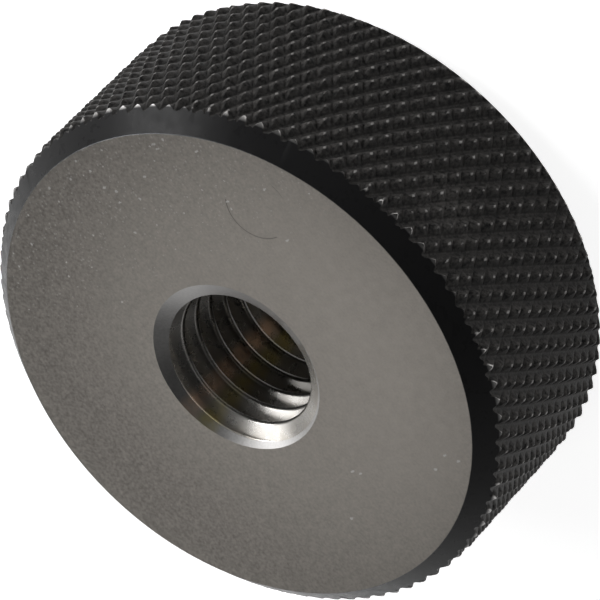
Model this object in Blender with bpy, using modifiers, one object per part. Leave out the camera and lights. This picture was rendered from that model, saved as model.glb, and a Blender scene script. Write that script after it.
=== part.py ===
"""Thread ring gauge: one turned steel ring with a diamond-knurled rim and a countersunk bore.

The ring lies on its back face. Its axis is +Z and its origin is the middle of the back face.
"""

import math

import bmesh
import bpy

# Driving dimensions, in metres and radians
OUTER_DIAMETER = 0.038          # over the tips of the knurl
THICKNESS = 0.016               # between the two ground faces
RIM_CHAMFER = 0.0015            # leg of the 45 degree chamfer at each face
THREAD_DIAMETER = 0.012         # nominal size of the coarse metric thread
THREAD_PITCH = 0.00175
COUNTERSINK_CLEARANCE = 0.0005  # mouth of the countersink over the thread's nominal size
COUNTERSINK_ANGLE = math.radians(120)
KNURL_DEPTH = 0.00042           # from a tip to the crossing of two grooves
KNURL_HELIX = math.radians(30)  # between the grooves and the axis
RIGHT_GROOVE_PITCH = 0.00103    # across the grooves that the right-hand wheel rolls
LEFT_GROOVE_PITCH = 0.00115     # across the grooves of the left-hand wheel

# Facets
TURNING_STEPS = 144
WELD_DISTANCE = 0.00001
SHARP_ANGLE = math.radians(25)

# Sizes that follow from the ones above
OUTER_RADIUS = OUTER_DIAMETER / 2
ROOT_RADIUS = OUTER_RADIUS - KNURL_DEPTH
FACE_RADIUS = OUTER_RADIUS - RIM_CHAMFER
BORE_RADIUS = THREAD_DIAMETER / 2 - 5 / 8 * math.cos(math.radians(30)) * THREAD_PITCH
MOUTH_RADIUS = (THREAD_DIAMETER + COUNTERSINK_CLEARANCE) / 2
COUNTERSINK_DEPTH = (MOUTH_RADIUS - BORE_RADIUS) / math.tan(COUNTERSINK_ANGLE / 2)


def clear_scene():
    """Remove whatever the scene holds."""
    for scene_object in list(bpy.data.objects):
        bpy.data.objects.remove(scene_object, do_unlink=True)


def new_collection(name):
    """Add a collection to the scene."""
    collection = bpy.data.collections.new(name)
    bpy.context.scene.collection.children.link(collection)
    return collection


def new_object(name, mesh, collection):
    """Put a mesh into the scene as an object."""
    mesh_object = bpy.data.objects.new(name, mesh)
    collection.objects.link(mesh_object)
    return mesh_object


def steel(name, colour, metallic, roughness):
    """One steel finish."""
    material = bpy.data.materials.new(name)
    material.use_nodes = True
    shader = material.node_tree.nodes["Principled BSDF"]
    shader.inputs["Base Color"].default_value = (*colour, 1.0)
    shader.inputs["Metallic"].default_value = metallic
    shader.inputs["Roughness"].default_value = roughness
    return material


def groove_count(pitch):
    """Whole number of grooves of one hand that fit round the rim."""
    return round(math.pi * OUTER_DIAMETER * math.cos(KNURL_HELIX) / pitch)


def knurled_bar():
    """Bar of knurled stock, longer than the ring, as a closed mesh.

    Groove i of one hand crosses groove j of the other at one point. Four crossings make a
    diamond, and each diamond is raised into a pyramid whose tip is on the outer diameter.
    """
    right_grooves = groove_count(RIGHT_GROOVE_PITCH)
    left_grooves = groove_count(LEFT_GROOVE_PITCH)
    rise = math.pi * ROOT_RADIUS / math.tan(KNURL_HELIX)
    row_height = rise * (1 / right_grooves + 1 / left_grooves)
    mesh = bmesh.new()
    corners = {}

    def height(i, j):
        return THICKNESS / 2 + rise * (i / right_grooves - j / left_grooves)

    def corner(i, j):
        lap = i // right_grooves
        place = (i - lap * right_grooves, j - lap * left_grooves)
        if place not in corners:
            angle = math.pi * (i / right_grooves + j / left_grooves)
            x = ROOT_RADIUS * math.cos(angle)
            y = ROOT_RADIUS * math.sin(angle)
            corners[place] = mesh.verts.new((x, y, height(i, j)))
        return corners[place]

    for i in range(right_grooves):
        lowest = math.ceil((height(i, 0) - THICKNESS - row_height) * left_grooves / rise)
        highest = math.floor((height(i, 0) + row_height) * left_grooves / rise)
        for j in range(lowest, highest + 1):
            mesh.faces.new((corner(i, j), corner(i, j + 1), corner(i + 1, j + 1), corner(i + 1, j)))

    tips = bmesh.ops.poke(mesh, faces=mesh.faces[:])["verts"]
    for tip in tips:
        tip.co.xy *= OUTER_RADIUS / tip.co.xy.length
    for end_height in (-2 * row_height, THICKNESS + 2 * row_height):
        close_end(mesh, end_height)
    bmesh.ops.recalc_face_normals(mesh, faces=mesh.faces[:])
    bar = bpy.data.meshes.new("knurled_bar")
    mesh.to_mesh(bar)
    mesh.free()
    return bar


def close_end(mesh, end_height):
    """Close one end of the bar with a shallow cone whose point is on the axis."""
    is_top = end_height > THICKNESS
    rim = [edge for edge in mesh.edges
           if edge.is_boundary and (edge.verts[0].co.z > THICKNESS / 2) == is_top]
    grown = bmesh.ops.extrude_edge_only(mesh, edges=rim)["geom"]
    points = [item for item in grown if isinstance(item, bmesh.types.BMVert)]
    bmesh.ops.pointmerge(mesh, verts=points, merge_co=(0, 0, end_height))


def turned_blank():
    """Half section of the ring, turned by a Screw modifier.

    The rim chamfers run on past the outer diameter, so that the knurled bar trims them.
    """
    spare = KNURL_DEPTH
    outline = [
        (FACE_RADIUS, THICKNESS),
        (OUTER_RADIUS + spare, THICKNESS - RIM_CHAMFER - spare),
        (OUTER_RADIUS + spare, RIM_CHAMFER + spare),
        (FACE_RADIUS, 0),
        (MOUTH_RADIUS, 0),
        (BORE_RADIUS, COUNTERSINK_DEPTH),
        (BORE_RADIUS, THICKNESS - COUNTERSINK_DEPTH),
        (MOUTH_RADIUS, THICKNESS),
    ]
    points = [(radius, 0, height) for radius, height in outline]
    edges = [(index, (index + 1) % len(points)) for index in range(len(points))]
    mesh = bpy.data.meshes.new("blank")
    mesh.from_pydata(points, edges, [])
    return mesh


def turn(profile_object):
    """Turn a half section about the Z axis."""
    screw = profile_object.modifiers.new("Turn", "SCREW")
    screw.axis = "Z"
    screw.steps = TURNING_STEPS
    screw.render_steps = TURNING_STEPS
    screw.use_merge_vertices = True
    screw.merge_threshold = WELD_DISTANCE


def trim_to(blank_object, bar_object):
    """Keep only what lies inside the knurled bar."""
    boolean = blank_object.modifiers.new("Knurl", "BOOLEAN")
    boolean.operation = "INTERSECT"
    boolean.solver = "EXACT"
    boolean.object = bar_object


def freeze(model_object):
    """Turn the modified shape into the object's own mesh and weld its closest points."""
    depsgraph = bpy.context.evaluated_depsgraph_get()
    shape = bpy.data.meshes.new_from_object(model_object.evaluated_get(depsgraph))
    mesh = bmesh.new()
    mesh.from_mesh(shape)
    bmesh.ops.remove_doubles(mesh, verts=mesh.verts[:], dist=WELD_DISTANCE)
    bmesh.ops.dissolve_degenerate(mesh, edges=mesh.edges[:], dist=WELD_DISTANCE)
    mesh.to_mesh(shape)
    mesh.free()
    model_object.modifiers.clear()
    model_object.data = shape


def is_blackened(face):
    """Whether a face of the ring is on its chamfers or its knurl."""
    return face.center.xy.length > FACE_RADIUS


def finish(model_object):
    """Ground steel on the faces and in the bore, black oxide on the chamfers and the knurl."""
    mesh = model_object.data
    mesh.materials.clear()
    mesh.materials.append(steel("ground_steel", (0.42, 0.41, 0.40), 1.0, 0.38))
    mesh.materials.append(steel("black_oxide", (0.045, 0.047, 0.055), 0.7, 0.4))
    for face in mesh.polygons:
        face.material_index = int(is_blackened(face))
    mesh.shade_smooth()
    mesh.set_sharp_from_angle(angle=SHARP_ANGLE)


def ring_gauge():
    """Turn the blank, knurl it, and give it its finish."""
    parts = new_collection("thread_ring_gauge")
    cutters = new_collection("cutters")
    ring = new_object("ring_gauge", turned_blank(), parts)
    bar = new_object("knurled_bar", knurled_bar(), cutters)
    bar.hide_render = True
    bar.display_type = "WIRE"
    turn(ring)
    trim_to(ring, bar)
    freeze(ring)
    finish(ring)


clear_scene()
ring_gauge()
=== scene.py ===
"""The finished look of the thread ring gauge: ground faces, blackened knurl and bright thread."""

import math
import random

import bmesh
import bpy
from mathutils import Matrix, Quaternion, Vector


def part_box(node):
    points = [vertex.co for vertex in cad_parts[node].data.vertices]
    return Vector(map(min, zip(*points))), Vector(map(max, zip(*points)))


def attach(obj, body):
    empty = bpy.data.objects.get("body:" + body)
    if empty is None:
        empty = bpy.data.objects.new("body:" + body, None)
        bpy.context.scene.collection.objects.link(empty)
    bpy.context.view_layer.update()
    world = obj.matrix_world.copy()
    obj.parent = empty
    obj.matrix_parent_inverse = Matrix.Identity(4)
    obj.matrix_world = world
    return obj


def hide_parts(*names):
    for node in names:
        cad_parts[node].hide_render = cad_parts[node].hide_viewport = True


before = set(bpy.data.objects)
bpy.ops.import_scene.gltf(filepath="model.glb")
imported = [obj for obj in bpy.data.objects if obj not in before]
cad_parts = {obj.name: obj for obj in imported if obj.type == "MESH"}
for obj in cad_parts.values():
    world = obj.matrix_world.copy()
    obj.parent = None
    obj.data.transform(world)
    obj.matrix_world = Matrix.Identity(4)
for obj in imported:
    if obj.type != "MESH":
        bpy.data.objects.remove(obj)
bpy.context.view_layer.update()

lowest_corner, highest_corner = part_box("ring_gauge")

# Sizes of the ring, in metres and radians
THICKNESS = highest_corner.z - lowest_corner.z
OUTER_RADIUS = (highest_corner.x - lowest_corner.x) / 2
RIM_CHAMFER = 0.0015
FACE_RADIUS = OUTER_RADIUS - RIM_CHAMFER
EDGE_BREAK = 0.00003            # the stoned edge between each face and its chamfer
EDGE_STEPS = 2                  # flats in the stoned edge's rounding
TURNING_STEPS = 300             # flats in a turn of the ring

# The thread and its countersinks
THREAD_PITCH = 0.00175
FLANK_SLOPE = math.tan(math.radians(60))
MAJOR_RADIUS = 0.006
BORE_RADIUS = MAJOR_RADIUS - 5 / 8 * math.cos(math.radians(30)) * THREAD_PITCH
MOUTH_RADIUS = MAJOR_RADIUS + 0.00025
COUNTERSINK_SLOPE = math.tan(math.radians(60))
COUNTERSINK_DEPTH = (MOUTH_RADIUS - BORE_RADIUS) / COUNTERSINK_SLOPE
THREAD_START = math.radians(-146)    # where the middle of a groove meets the back face
THREAD_STEPS = 150              # flats in a turn of the thread
ROOT_CLEARANCE = 0.0001         # how much deeper the groove is than the thread's major radius
ROOT_BREAK = 0.00004            # height of the rounding in the groove's two inner corners
CREST_BREAK = 0.0001            # height of the rounding on the crest's two corners
TAP_SPARE = 0.0003              # how far the tap's own roots lie inside the open bore

# The knurl, rolled by a right-hand and a left-hand wheel
KNURL_DEPTH = 0.00042
KNURL_HELIX = math.radians(30)
RIGHT_GROOVES = 100
LEFT_GROOVES = 90
ROOT_RADIUS = OUTER_RADIUS - KNURL_DEPTH
RISE = math.pi * ROOT_RADIUS / math.tan(KNURL_HELIX)
ROW_HEIGHT = RISE * (1 / RIGHT_GROOVES + 1 / LEFT_GROOVES)
ROOT_ROUNDING = 0.35            # share of the flank that the groove's rounded bottom takes
RIDGE_ROUNDING = 0.45           # share of the flank over which two flanks run into each other
LEFT_ROOT = 0.04                # share of the flank that the left-hand grooves' flat bottom takes
RIGHT_RAISE = 0.2               # share of the depth by which the right-hand grooves are shallower
TIP_LAND = 0.12                 # share of the diamond that its blunt tip takes
LOWEST_TIP = 0.94               # height of the lowest tip as a share of the highest
DIAMOND_STEPS = (0, 0.1, 0.27, 0.5 - TIP_LAND / 2, 0.5 + TIP_LAND / 2, 0.73, 0.9)

# How the cut mesh is cleaned
WELD_DISTANCE = 0.000005
SHARP_ANGLE = math.radians(35)

# Colours, as linear red, green and blue
FACE_STEEL = (0.45, 0.4185, 0.38)
NICKED_STEEL = (0.8, 0.79, 0.77)
RUBBED_STEEL = (0.04, 0.04, 0.04)
EDGE_STEEL = (0.1, 0.105, 0.112)
CHAMFER_BLACK = (0.0135, 0.0134, 0.0138)
CHAMFER_EDGE_STEEL = (0.25, 0.245, 0.24)
PIT_BLACK = (0.002, 0.002, 0.002)
KNURL_BLACK = (0.077, 0.073, 0.0695)
TIP_STEEL = (0.36, 0.35, 0.34)
THREAD_STEEL = (0.48, 0.468, 0.45)
DARKER_ROOT_STEEL = (0.35, 0.32, 0.276)
CREST_PAINTED_SHADE = (0.02, 0.019, 0.017)
COUNTERSINK_STEEL = (0.45, 0.442, 0.435)
OLIVE_PAINTED_REFLECTION = (0.52, 0.46, 0.26)
BROWN_PAINTED_REFLECTION = (0.8, 0.63, 0.5)

# Marks on the front face: the larger nicks' X and Y, and a rubbed circle
NICK_RADIUS = 0.00008
NICKS = (
    (0.01552, -0.00526), (0.01592, -0.00508), (0.01455, 0.00076), (0.01324, 0.00039),
    (0.01418, -0.00285), (0.01436, -0.00803), (0.01052, -0.00784), (0.01032, -0.0112),
    (-0.01247, -0.00104), (-0.01061, -0.01134), (-0.01131, -0.01208), (-0.00946, -0.00356),
    (-0.00978, -0.00407), (-0.01129, -0.00996), (0.00663, -0.01037),
)
CIRCLE_MIDDLE = (0.00943, -0.00976, THICKNESS)
CIRCLE_RADIUS = 0.00233
CIRCLE_ARCS = ((118, 62, 1), (-79, 12, 0.6))    # middle and half the width in degrees, and how dark

# Wear, and painted light and shade, on the knurl
PAINTED_SHEEN_MIDDLE = (0.0032, -0.0187, 0.0107)      # middle of a painted sheen, a patch painted a little brighter
PAINTED_GROOVE_HIGHLIGHT = (0.02, 0.05)                   # a painted highlight line in each left-hand groove: its middle and half its width, as shares of a groove
PAINTED_FLANK_SHADES = ((0.13, 0.07, 0.6), (0.3, 0.2, 0.7), (0.7, 0.2, 1.25))    # painted light and shade on the flanks: the same, and how bright

# Light from the sky and the floor
HORIZON_LEVEL = 1.48
SKY_TOP = 0.5                   # how high the sky's light reaches, where 1 is straight up
FLOOR_GLOW = 0.85

# Lamps: name, azimuth and elevation in degrees, distance and width in metres, and power in watts
LAMPS = (
    ("key", 134, 41.5, 0.6, 0.27, 0.82),
    ("low_key", 108, 24, 0.6, 0.25, 1.96),
    ("face_light", 201.7, 52, 0.356, 0.14, 0.0465),
    ("front_fill", 40, 22, 0.8, 0.5, 0.145),
    ("left_fill", 285, 35, 0.6, 0.3, 0.08),
)


def new_object(name, mesh):
    """Put a mesh into the scene as an object."""
    mesh_object = bpy.data.objects.new(name, mesh)
    bpy.context.scene.collection.objects.link(mesh_object)
    return mesh_object


def mesh_of(builder, name):
    """Turn finished bmesh data into a mesh whose faces point out."""
    if builder.calc_volume(signed=True) < 0:
        bmesh.ops.reverse_faces(builder, faces=builder.faces[:])
    mesh = bpy.data.meshes.new(name)
    builder.to_mesh(mesh)
    builder.free()
    return mesh


def close_end(builder, end_height):
    """Close one end of a bar with a cone whose point is on the axis."""
    is_top = end_height > THICKNESS
    rim = [edge for edge in builder.edges
           if edge.is_boundary and (edge.verts[0].co.z > THICKNESS / 2) == is_top]
    grown = bmesh.ops.extrude_edge_only(builder, edges=rim)["geom"]
    points = [item for item in grown if isinstance(item, bmesh.types.BMVert)]
    bmesh.ops.pointmerge(builder, verts=points, merge_co=(0, 0, end_height))


def pyramid(a, b):
    """Height inside a diamond, from 0 in the left-hand grooves to 1 on the blunt tip.

    a and b run from 0 to 1 across the diamond, between two right-hand and two left-hand grooves.
    """
    down_a = max(abs(2 * a - 1) - TIP_LAND, 0) / (1 - TIP_LAND)
    down_b = max(abs(2 * b - 1) - TIP_LAND, 0) / (1 - TIP_LAND - LEFT_ROOT)
    right_flank = 1 - (1 - RIGHT_RAISE) * down_a
    left_flank = max(1 - down_b, 0)
    height = min(right_flank, left_flank)
    # The ridge between two flanks is rounded
    reach = RIDGE_ROUNDING * (right_flank + left_flank) / 2
    height -= max(reach - abs(right_flank - left_flank), 0) ** 2 / reach / 4
    height /= 1 - RIDGE_ROUNDING / 4
    # So is the bottom of each groove
    if height < ROOT_ROUNDING:
        height = (height * height / ROOT_ROUNDING + ROOT_ROUNDING) / 2
    return (height - ROOT_ROUNDING / 2) / (1 - ROOT_ROUNDING / 2)


def knurled_bar():
    """Bar of knurled stock. Each diamond between two pairs of grooves is a blunt pyramid."""
    builder = bmesh.new()
    corners = {}
    steps = len(DIAMOND_STEPS)
    wander = random.Random(7)
    tip_heights = {}

    def height_at(right, left):
        return THICKNESS / 2 + RISE * (right / RIGHT_GROOVES - left / LEFT_GROOVES)

    def tip_height(i, j):
        if (i, j) not in tip_heights:
            tip_heights[i, j] = wander.uniform(LOWEST_TIP, 1.0)
        return tip_heights[i, j]

    def corner(p, q):
        # The count of grooves starts again after each lap of the bar
        lap = p // (steps * RIGHT_GROOVES)
        p -= lap * steps * RIGHT_GROOVES
        q -= lap * steps * LEFT_GROOVES
        if (p, q) not in corners:
            i, k = divmod(p, steps)
            j, m = divmod(q, steps)
            a = DIAMOND_STEPS[k]
            b = DIAMOND_STEPS[m]
            share = pyramid(a, b)
            radius = ROOT_RADIUS + KNURL_DEPTH * share * (1 - share * (1 - tip_height(i, j)))
            angle = math.pi * ((i + a) / RIGHT_GROOVES + (j + b) / LEFT_GROOVES)
            place = (radius * math.cos(angle), radius * math.sin(angle), height_at(i + a, j + b))
            corners[p, q] = builder.verts.new(place)
        return corners[p, q]

    def diamond(i, j):
        for k in range(steps):
            for m in range(steps):
                p = i * steps + k
                q = j * steps + m
                near, right = corner(p, q), corner(p + 1, q)
                left, far = corner(p, q + 1), corner(p + 1, q + 1)
                if (k < steps / 2) == (m < steps / 2):
                    builder.faces.new((near, left, far))
                    builder.faces.new((near, far, right))
                else:
                    builder.faces.new((near, left, right))
                    builder.faces.new((left, far, right))

    for i in range(RIGHT_GROOVES):
        first = math.ceil((height_at(i, 0) - THICKNESS - ROW_HEIGHT) * LEFT_GROOVES / RISE)
        last = math.floor((height_at(i, 0) + ROW_HEIGHT) * LEFT_GROOVES / RISE)
        for j in range(first, last + 1):
            diamond(i, j)
    close_end(builder, -2 * ROW_HEIGHT)
    close_end(builder, THICKNESS + 2 * ROW_HEIGHT)
    return mesh_of(builder, "knurled_bar")


def thread_form():
    """One pitch of the tap, as places along the axis and radii: up to its crest and down again."""
    half_crest = THREAD_PITCH / 16
    crest_radius = MAJOR_RADIUS + ROOT_CLEARANCE
    nearly_half_pitch = THREAD_PITCH * 0.49

    def on_flank(radius):
        return (half_crest + (crest_radius - radius) / FLANK_SLOPE, radius)

    side = [
        (half_crest / 2, crest_radius),
        on_flank(crest_radius - ROOT_BREAK),
        on_flank(crest_radius - 2 * ROOT_BREAK),
        on_flank(BORE_RADIUS + CREST_BREAK + ROOT_BREAK),
        on_flank(BORE_RADIUS + CREST_BREAK),
        (on_flank(BORE_RADIUS)[0] + CREST_BREAK, BORE_RADIUS),
        (nearly_half_pitch, BORE_RADIUS - TAP_SPARE),
    ]
    return [(-along, radius) for along, radius in reversed(side)] + side


def tap():
    """Solid that cuts the right-hand thread, longer than the ring."""
    builder = bmesh.new()
    form = thread_form()
    count = len(form)
    first_turn = -2
    last_turn = math.ceil(THICKNESS / THREAD_PITCH) + 1
    point_length = 3 * THREAD_PITCH
    corners = {}

    def corner(step, row):
        # After each lap of the axis the same point belongs to the next turn
        lap = step // THREAD_STEPS
        step -= lap * THREAD_STEPS
        row += lap * count
        if (step, row) not in corners:
            turn, point = divmod(row, count)
            along, radius = form[point]
            angle = 2 * math.pi * step / THREAD_STEPS + THREAD_START
            height = THREAD_PITCH * (turn + step / THREAD_STEPS) + along
            place = (radius * math.cos(angle), radius * math.sin(angle), height)
            corners[step, row] = builder.verts.new(place)
        return corners[step, row]

    for step in range(THREAD_STEPS):
        for row in range(first_turn * count, last_turn * count):
            builder.faces.new((corner(step, row), corner(step + 1, row),
                               corner(step + 1, row + 1), corner(step, row + 1)))
    close_end(builder, first_turn * THREAD_PITCH - point_length)
    close_end(builder, (last_turn + 1) * THREAD_PITCH + point_length)
    return mesh_of(builder, "tap")


def broken_edge():
    """Small arc from the face to the rim chamfer, touching both."""
    arc_radius = EDGE_BREAK / math.tan(math.radians(22.5))
    arc = []
    for step in range(EDGE_STEPS + 1):
        angle = math.radians(45) * step / EDGE_STEPS
        radius = FACE_RADIUS - EDGE_BREAK + arc_radius * math.sin(angle)
        arc.append((radius, THICKNESS - arc_radius + arc_radius * math.cos(angle)))
    return arc


def turned_blank():
    """Half section of the ring, with its rim left proud of the knurl."""
    spare = KNURL_DEPTH
    side = [
        (MOUTH_RADIUS, THICKNESS),
        *broken_edge(),
        (OUTER_RADIUS + spare, THICKNESS - RIM_CHAMFER - spare),
    ]
    far_side = [(radius, THICKNESS - height) for radius, height in reversed(side)]
    bore = [(BORE_RADIUS, COUNTERSINK_DEPTH), (BORE_RADIUS, THICKNESS - COUNTERSINK_DEPTH)]
    points = [(radius, 0, height) for radius, height in side + far_side + bore]
    edges = [(index, (index + 1) % len(points)) for index in range(len(points))]
    mesh = bpy.data.meshes.new("blank")
    mesh.from_pydata(points, edges, [])
    return mesh


def turn(profile_object):
    """Turn a half section about the Z axis."""
    screw = profile_object.modifiers.new("Turn", "SCREW")
    screw.steps = TURNING_STEPS
    screw.render_steps = TURNING_STEPS
    screw.use_merge_vertices = True
    screw.merge_threshold = 0.000001


def combine(target, other, operation):
    """Add a Boolean modifier."""
    boolean = target.modifiers.new(operation, "BOOLEAN")
    boolean.operation = operation
    boolean.solver = "EXACT"
    boolean.object = other


def freeze(model_object):
    """Turn the modified shape into the object's own mesh, welded and split into triangles."""
    depsgraph = bpy.context.evaluated_depsgraph_get()
    shape = bpy.data.meshes.new_from_object(model_object.evaluated_get(depsgraph))
    builder = bmesh.new()
    builder.from_mesh(shape)
    bmesh.ops.remove_doubles(builder, verts=builder.verts[:], dist=WELD_DISTANCE)
    bmesh.ops.dissolve_degenerate(builder, edges=builder.edges[:], dist=WELD_DISTANCE)
    bmesh.ops.triangulate(builder, faces=builder.faces[:])
    builder.to_mesh(shape)
    builder.free()
    model_object.modifiers.clear()
    model_object.data = shape


GROUND, CHAMFER, KNURL, THREAD, COUNTERSINK = range(5)


def region(face):
    """Which finish a face of the ring has."""
    radius = face.center.xy.length
    off_middle = abs(face.center.z - THICKNESS / 2)
    if radius > FACE_RADIUS + EDGE_BREAK:
        on_cone = radius + off_middle > FACE_RADIUS + THICKNESS / 2 - EDGE_BREAK / 10
        return CHAMFER if on_cone else KNURL
    if radius < MOUTH_RADIUS:
        cone_depth = (MOUTH_RADIUS - radius) / COUNTERSINK_SLOPE
        on_cone = abs(THICKNESS / 2 - off_middle - cone_depth) < 2 * WELD_DISTANCE
        return COUNTERSINK if on_cone else THREAD
    return GROUND


def mark_sharp(mesh):
    """Keep the edges between two finishes crisp, and those that turn by more than SHARP_ANGLE."""
    builder = bmesh.new()
    builder.from_mesh(mesh)
    for edge in builder.edges:
        first, second = edge.link_faces
        same_finish = first.material_index == second.material_index
        edge.smooth = same_finish and edge.calc_face_angle(0) < SHARP_ANGLE
    builder.to_mesh(mesh)
    builder.free()


def fill(tree, node, sources):
    """Fill a node's sockets, each with a plain value or with another node's result."""
    for name, value in sources.items():
        if isinstance(value, bpy.types.NodeSocket):
            tree.links.new(value, node.inputs[name])
        else:
            node.inputs[name].default_value = value


def add_node(tree, kind, sources, **settings):
    """Add a shader node, set its options and fill its sockets."""
    node = tree.nodes.new(kind)
    for name, value in settings.items():
        setattr(node, name, value)
    fill(tree, node, sources)
    return node


def maths(tree, operation, first, second=0.0, clamp=False):
    """One step of arithmetic."""
    step = add_node(tree, "ShaderNodeMath", {0: first, 1: second}, operation=operation, use_clamp=clamp)
    return step.outputs[0]


def vector_maths(tree, operation, *sources, result="Vector"):
    """One step of arithmetic on positions, whose result is a Vector or a Value."""
    step = add_node(tree, "ShaderNodeVectorMath", dict(enumerate(sources)), operation=operation)
    return step.outputs[result]


def spread(tree, value, low, high, new_low, new_high):
    """Stretch a value from one range to another."""
    sources = {"Value": value, "From Min": low, "From Max": high, "To Min": new_low, "To Max": new_high}
    return add_node(tree, "ShaderNodeMapRange", sources).outputs[0]


def vary(tree, pattern, new_low, new_high):
    """Stretch a noise, which is mostly between 0.3 and 0.7, to a range of its own."""
    return spread(tree, pattern, 0.3, 0.7, new_low, new_high)


def band(tree, value, middle, solid, half_width):
    """1 where a value is within solid of the middle, fading to 0 at half_width from it."""
    gap = maths(tree, "ABSOLUTE", maths(tree, "SUBTRACT", value, middle))
    return spread(tree, gap, solid, half_width, 1, 0)


def blend_colours(tree, share, first, second):
    """Mix two colours, of which each is a socket or three numbers."""
    mix = add_node(tree, "ShaderNodeMix", {"Factor": share}, data_type="RGBA")
    colour_sockets = [socket for socket in mix.inputs if socket.type == "RGBA"]
    for socket, value in zip(colour_sockets, (first, second)):
        if isinstance(value, bpy.types.NodeSocket):
            tree.links.new(value, socket)
        else:
            socket.default_value = (*value, 1)
    return [socket for socket in mix.outputs if socket.type == "RGBA"][0]


def shaded(colour, level):
    """A colour made darker or lighter."""
    return tuple(channel * level for channel in colour)


def noise(tree, place, size, detail=2, roughness=0.5, result=0):
    """Noise whose grains are about this size in metres."""
    sources = {"Vector": place, "Scale": 1 / size, "Detail": detail, "Roughness": roughness}
    return add_node(tree, "ShaderNodeTexNoise", sources).outputs[result]


def bump(tree, height, distance, strength):
    """Bump from a height between 0 and 1."""
    sources = {"Height": height, "Distance": distance, "Strength": strength}
    return add_node(tree, "ShaderNodeBump", sources).outputs[0]


def object_place(tree):
    """Position on the object, in metres."""
    return add_node(tree, "ShaderNodeTexCoord", {}).outputs["Object"]


def parts_of(tree, place):
    """The X, Y and Z of a position."""
    return add_node(tree, "ShaderNodeSeparateXYZ", {0: place}).outputs


def axis_distance(tree, place):
    """Distance from the ring's axis."""
    across = vector_maths(tree, "MULTIPLY", place, (1, 1, 0))
    return vector_maths(tree, "LENGTH", across, result="Value")


def axis_angle(tree, place):
    """Angle round the ring's axis, in radians from +X."""
    parts = parts_of(tree, place)
    return maths(tree, "ARCTAN2", parts["Y"], parts["X"])


def new_material(name):
    """Start a material: the material itself, its nodes and its shader."""
    material = bpy.data.materials.new(name)
    material.use_nodes = True
    tree = material.node_tree
    return material, tree, tree.nodes["Principled BSDF"]


def rubbed_circle(tree, place):
    """Faint circle that something round has rubbed into the face, broken in two places."""
    from_middle = vector_maths(tree, "SUBTRACT", place, CIRCLE_MIDDLE)
    distance = vector_maths(tree, "LENGTH", from_middle, result="Value")
    line = band(tree, distance, CIRCLE_RADIUS, 0.00002, 0.00006)
    drawn = 0
    for middle, half_width, darkness in CIRCLE_ARCS:
        towards = (math.cos(math.radians(middle)), math.sin(math.radians(middle)), 0)
        along = vector_maths(tree, "DOT_PRODUCT", from_middle, towards, result="Value")
        arc = maths(tree, "GREATER_THAN", along, CIRCLE_RADIUS * math.cos(math.radians(half_width)))
        drawn = maths(tree, "ADD", drawn, maths(tree, "MULTIPLY", arc, darkness))
    return maths(tree, "MULTIPLY", line, drawn)


def shake(tree, place):
    """Position moved about a little, which gives round spots a ragged edge."""
    blur = noise(tree, place, size=0.00012, result="Color")
    centred = vector_maths(tree, "SUBTRACT", blur, (0.5, 0.5, 0.5))
    return vector_maths(tree, "MULTIPLY_ADD", centred, (0.0002, 0.0002, 0.0002), place)


def specks(tree, place, spacing, largest):
    """Bright specks, most of them on the side that +X points to."""
    fewest = 0.02
    most = 0.3
    cell_sources = {"Vector": place, "Scale": 1 / spacing}
    cells = add_node(tree, "ShaderNodeTexVoronoi", cell_sources, voronoi_dimensions="2D").outputs
    chance = add_node(tree, "ShaderNodeSeparateColor", {0: cells["Color"]}).outputs[0]
    share = spread(tree, parts_of(tree, place)["X"], 0.001, 0.012, fewest, most)
    size = maths(tree, "SUBTRACT", chance, maths(tree, "SUBTRACT", 1, share))
    size = maths(tree, "MULTIPLY", size, largest / spacing / most)
    return maths(tree, "LESS_THAN", cells["Distance"], size)


def nicks(tree, place):
    """The specks and larger nicks of the face, from 0 to 1. The nicks are longer along Y."""
    ragged = shake(tree, place)
    fine_specks = specks(tree, ragged, spacing=0.00026, largest=0.00008)
    marks = maths(tree, "MULTIPLY", fine_specks, 0.45)
    marks = maths(tree, "MAXIMUM", marks, specks(tree, ragged, spacing=0.001, largest=0.00012))
    squeezed = vector_maths(tree, "MULTIPLY", ragged, (1, 0.5, 1))
    for x, y in NICKS:
        gap = vector_maths(tree, "DISTANCE", squeezed, (x, y / 2, THICKNESS), result="Value")
        marks = maths(tree, "MAXIMUM", marks, maths(tree, "LESS_THAN", gap, NICK_RADIUS))
    return marks


def ground_steel():
    """Ground face: warm grey, finely mottled, with specks, nicks and a rubbed circle."""
    material, tree, shader = new_material("ground_steel")
    place = object_place(tree)
    grain = noise(tree, place, size=0.00022, detail=3, roughness=0.6)
    cloud = noise(tree, place, size=0.0006)
    tone = maths(tree, "ADD", vary(tree, grain, 0.35, 0.65), vary(tree, cloud, -0.05, 0.05))
    steel = blend_colours(tree, tone, shaded(FACE_STEEL, 0.5), shaded(FACE_STEEL, 1.5))
    rubbed = maths(tree, "MULTIPLY", rubbed_circle(tree, place), 0.55)
    steel = blend_colours(tree, rubbed, steel, RUBBED_STEEL)
    nicked = maths(tree, "MULTIPLY", nicks(tree, place), 0.8)
    steel = blend_colours(tree, nicked, steel, NICKED_STEEL)
    edge = spread(tree, axis_distance(tree, place), FACE_RADIUS - EDGE_BREAK, FACE_RADIUS, 0, 1)
    fill(tree, shader, {
        "Base Color": blend_colours(tree, edge, steel, EDGE_STEEL),
        "Metallic": 1,
        "Roughness": vary(tree, grain, 0.3, 0.42),
        "Normal": bump(tree, grain, distance=0.000004, strength=0.6),
    })
    return material


def from_chamfer(tree, place, radius):
    """How far a point lies inside the cone of the nearer rim chamfer, along the axis."""
    height = parts_of(tree, place)["Z"]
    off_middle = maths(tree, "ABSOLUTE", maths(tree, "SUBTRACT", height, THICKNESS / 2))
    return maths(tree, "SUBTRACT", FACE_RADIUS + THICKNESS / 2, maths(tree, "ADD", off_middle, radius))


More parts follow.
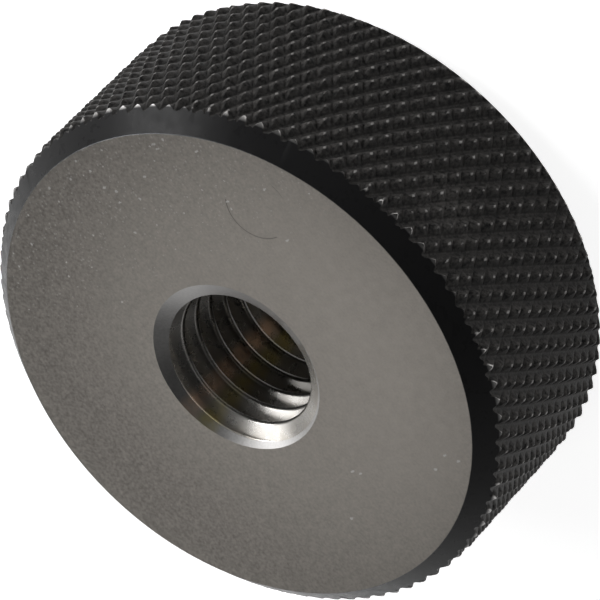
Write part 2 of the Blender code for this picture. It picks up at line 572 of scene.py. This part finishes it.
def rubbed_rim(tree, place, radius):
    """1 where the chamfer cuts through the teeth and the blacking is rubbed off the corner."""
    patchy = spread(tree, noise(tree, place, size=0.0004), 0.35, 0.65, -0.00003, 0.00009)
    near_cut = maths(tree, "SUBTRACT", maths(tree, "ABSOLUTE", from_chamfer(tree, place, radius)), patchy)
    edge = spread(tree, near_cut, 0.00003, 0.00009, 1, 0)
    low_tooth = OUTER_RADIUS - KNURL_DEPTH * 0.6
    high_tooth = OUTER_RADIUS - KNURL_DEPTH * 0.2
    return maths(tree, "MULTIPLY", edge, spread(tree, radius, low_tooth, high_tooth, 0, 1))


def black_chamfer():
    """Turned and blackened chamfer, smooth and slightly oily."""
    material, tree, shader = new_material("black_chamfer")
    place = object_place(tree)
    cloud = noise(tree, place, size=0.0007, detail=3, roughness=0.6)
    worn = rubbed_rim(tree, place, axis_distance(tree, place))
    fill(tree, shader, {
        "Base Color": blend_colours(tree, worn, CHAMFER_BLACK, CHAMFER_EDGE_STEEL),
        "Metallic": worn,
        "Specular IOR Level": 0.07,
        "Roughness": vary(tree, cloud, 0.24, 0.38),
        "Normal": bump(tree, noise(tree, place, size=0.00012), distance=0.000003, strength=0.5),
    })
    return material


def left_groove_share(tree, place):
    """Place across the left-hand grooves: 0 in the bottom of one, 1 in the bottom of the next."""
    turned = maths(tree, "MULTIPLY", axis_angle(tree, place), LEFT_GROOVES / (2 * math.pi))
    off_middle = maths(tree, "SUBTRACT", parts_of(tree, place)["Z"], THICKNESS / 2)
    risen = maths(tree, "MULTIPLY", off_middle, LEFT_GROOVES / (2 * RISE))
    return maths(tree, "FRACT", maths(tree, "SUBTRACT", turned, risen))


def painted_groove_light(tree, place, tone):
    """A tone with painted light and shade worked in across the left-hand grooves: a painted highlight line
    in each and lighter and darker painted flanks.
    """
    share = left_groove_share(tree, place)
    middle, half_width = PAINTED_GROOVE_HIGHLIGHT
    # Painted highlight: a lighter line along the bottom of each groove
    line = band(tree, share, middle, half_width * 0.4, half_width)
    tone = maths(tree, "ADD", tone, maths(tree, "MULTIPLY", line, 0.15))
    # Painted light and shade: some flanks darker, one lighter
    for middle, half_width, level in PAINTED_FLANK_SHADES:
        flank_light_and_shade = band(tree, share, middle, half_width * 0.4, half_width)
        tone = maths(tree, "MULTIPLY", tone, spread(tree, flank_light_and_shade, 0, 1, 1, level))
    return tone


def worn_tips(tree, place, radius):
    """How bare the steel is on the tips of the diamonds."""
    ragged = vary(tree, noise(tree, place, size=0.0003), -0.00003, 0.00003)
    return spread(tree, maths(tree, "ADD", radius, ragged), OUTER_RADIUS - 0.00004, OUTER_RADIUS, 0, 0.48)


def black_knurl():
    """Blackened knurl with bare steel where it is worn, painted shade darkest in its grooves, painted light
    and shade across the left-hand grooves and a painted sheen.
    """
    material, tree, shader = new_material("black_knurl")
    place = object_place(tree)
    radius = axis_distance(tree, place)
    mottle = noise(tree, place, size=0.00028, detail=3, roughness=0.65)
    # Painted shade: the colour darkens towards the bottoms of the grooves, where shade falls.
    height = spread(tree, radius, ROOT_RADIUS, OUTER_RADIUS - KNURL_DEPTH * 0.15, 0.7, 1)
    tone = maths(tree, "MULTIPLY", height, vary(tree, mottle, -0.2, 2.1))
    # Painted light and shade across the left-hand grooves
    tone = painted_groove_light(tree, place, tone)
    # Painted sheen: a patch of the knurl painted brighter where a reflection of light falls
    from_painted_sheen = vector_maths(tree, "DISTANCE", place, PAINTED_SHEEN_MIDDLE, result="Value")
    tone = maths(tree, "MULTIPLY", tone, spread(tree, from_painted_sheen, 0.001, 0.003, 1.6, 1))
    black = blend_colours(tree, maths(tree, "MULTIPLY", tone, 0.5, clamp=True), PIT_BLACK, KNURL_BLACK)
    worn = maths(tree, "MAXIMUM", worn_tips(tree, place, radius), rubbed_rim(tree, place, radius))
    fill(tree, shader, {
        "Base Color": blend_colours(tree, worn, black, TIP_STEEL),
        "Metallic": worn,
        "Specular IOR Level": 0.06,
        "Roughness": vary(tree, mottle, 0.34, 0.6),
        "Normal": bump(tree, mottle, distance=0.00003, strength=1),
    })
    return material


def streak(tree, place, angle, half_width):
    """1 along one line of the bore's wall, fading to 0 at half_width and patchy along it."""
    half_width = math.radians(half_width)
    line = band(tree, axis_angle(tree, place), math.radians(angle), half_width * 0.3, half_width)
    patchy = spread(tree, noise(tree, place, size=0.0008), 0.35, 0.6, 0.5, 1)
    return maths(tree, "MULTIPLY", line, patchy)


def painted_reflection_streaks(tree, place, steel):
    """Painted reflection on one side of the bore: a brown streak with an olive one beside it."""
    olive = blend_colours(tree, streak(tree, place, angle=118, half_width=10), steel, OLIVE_PAINTED_REFLECTION)
    return blend_colours(tree, streak(tree, place, angle=104, half_width=9), olive, BROWN_PAINTED_REFLECTION)


def bright_countersink():
    """Countersink, cut bright and clean."""
    material, tree, shader = new_material("bright_countersink")
    place = object_place(tree)
    fine = noise(tree, place, size=0.00015)
    darker = shaded(COUNTERSINK_STEEL, 0.91)
    lighter = shaded(COUNTERSINK_STEEL, 1.09)
    steel = blend_colours(tree, vary(tree, fine, 0, 1), darker, lighter)
    fill(tree, shader, {
        # Painted reflection: brown and olive streaks on one side of the countersink
        "Base Color": painted_reflection_streaks(tree, place, steel),
        "Metallic": 1,
        "Roughness": vary(tree, fine, 0.36, 0.44),
    })
    return material


def dark_thread():
    """Thread with painted reflection streaks, darker towards its roots, and with painted shade on its
    crests.
    """
    material, tree, shader = new_material("dark_thread")
    place = object_place(tree)
    radius = axis_distance(tree, place)
    depth = spread(tree, radius, BORE_RADIUS, MAJOR_RADIUS, 0.15, 1)
    stain = noise(tree, place, size=0.0009, detail=3, roughness=0.6)
    # Darker towards the roots, in patches
    root_darkening = maths(tree, "MULTIPLY", depth, spread(tree, stain, 0.35, 0.65, 0.3, 0.8), clamp=True)
    steel = blend_colours(tree, root_darkening, THREAD_STEEL, DARKER_ROOT_STEEL)
    # Painted shade: the crests are painted nearly black so that they reflect less of the bright floor
    crest_shade = spread(tree, radius, BORE_RADIUS + 0.00003, BORE_RADIUS + 0.00013, 0.75, 0)
    fill(tree, shader, {
        "Base Color": blend_colours(tree, crest_shade, painted_reflection_streaks(tree, place, steel), CREST_PAINTED_SHADE),
        "Metallic": 0.8,
        "Roughness": vary(tree, stain, 0.25, 0.31),
    })
    return material


def ring():
    """The whole gauge as one closed mesh with a finish for each region."""
    blank = new_object("gauge_body", turned_blank())
    bar = new_object("bar", knurled_bar())
    cutter = new_object("tap", tap())
    turn(blank)
    combine(blank, bar, "INTERSECT")
    combine(blank, cutter, "DIFFERENCE")
    freeze(blank)
    bpy.data.objects.remove(bar)
    bpy.data.objects.remove(cutter)
    mesh = blank.data
    mesh.materials.clear()
    for material in (ground_steel(), black_chamfer(), black_knurl(), dark_thread(), bright_countersink()):
        mesh.materials.append(material)
    for face in mesh.polygons:
        face.material_index = region(face)
    mesh.shade_smooth()
    mark_sharp(mesh)
    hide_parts("ring_gauge")
    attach(blank, "root")


def direction(azimuth, elevation):
    """Unit vector from the ring towards a point round it, by angles in degrees. Azimuth 0 is towards -Y."""
    azimuth = math.radians(azimuth)
    elevation = math.radians(elevation)
    level = math.cos(elevation)
    return Vector((math.sin(azimuth) * level, -math.cos(azimuth) * level, math.sin(elevation)))


def add_camera():
    """Camera at the photograph's viewing angle, tilted about its own axis as the photograph is."""
    aim = Vector((0.002641, -0.008317, THICKNESS))
    back = direction(azimuth=17.29, elevation=43.564)
    distance = 0.45214
    tilt = Quaternion(back, math.radians(-135.976))
    data = bpy.data.cameras.new("camera")
    data.lens = 425.24
    data.sensor_width = 36
    data.clip_start = 0.01
    camera = bpy.data.objects.new("camera", data)
    bpy.context.scene.collection.objects.link(camera)
    camera.location = aim + back * distance
    camera.rotation_mode = "QUATERNION"
    camera.rotation_quaternion = tilt @ back.to_track_quat("Z", "Y")
    bpy.context.scene.camera = camera


def add_softbox(name, azimuth, elevation, distance, width, power):
    """Square area lamp that faces the ring."""
    data = bpy.data.lights.new(name, "AREA")
    data.size = width
    data.energy = power
    lamp = bpy.data.objects.new(name, data)
    bpy.context.scene.collection.objects.link(lamp)
    towards = direction(azimuth, elevation)
    lamp.location = towards * distance
    lamp.rotation_mode = "QUATERNION"
    lamp.rotation_quaternion = towards.to_track_quat("Z", "Y")


def add_floor():
    """Plain pale floor, white where the camera and the bright steel see it."""
    builder = bmesh.new()
    bmesh.ops.create_grid(builder, x_segments=1, y_segments=1, size=3)
    floor = new_object("floor", mesh_of(builder, "floor"))
    material, tree, shader = new_material("floor_white")
    path = add_node(tree, "ShaderNodeLightPath", {}).outputs
    seen = maths(tree, "MAXIMUM", path["Is Camera Ray"], path["Is Glossy Ray"])
    seen = maths(tree, "MAXIMUM", seen, path["Is Transmission Ray"])
    fill(tree, shader, {
        "Base Color": (0.8, 0.8, 0.8, 1),
        "Specular IOR Level": 0,
        "Roughness": 0.9,
        "Emission Color": (1, 1, 1, 1),
        "Emission Strength": maths(tree, "MULTIPLY", seen, FLOOR_GLOW),
    })
    floor.data.materials.append(material)


def add_world():
    """Studio light that fades from the horizon upwards."""
    world = bpy.data.worlds.new("studio")
    world.use_nodes = True
    tree = world.node_tree
    place = add_node(tree, "ShaderNodeTexCoord", {}).outputs["Generated"]
    level = spread(tree, parts_of(tree, place)["Z"], 0, SKY_TOP, HORIZON_LEVEL, 0)
    fill(tree, tree.nodes["Background"], {"Color": (1, 1, 1, 1), "Strength": level})
    bpy.context.scene.world = world


bpy.context.scene.view_settings.view_transform = "Standard"
ring()
add_camera()
add_floor()
add_world()
for lamp_values in LAMPS:
    add_softbox(*lamp_values)
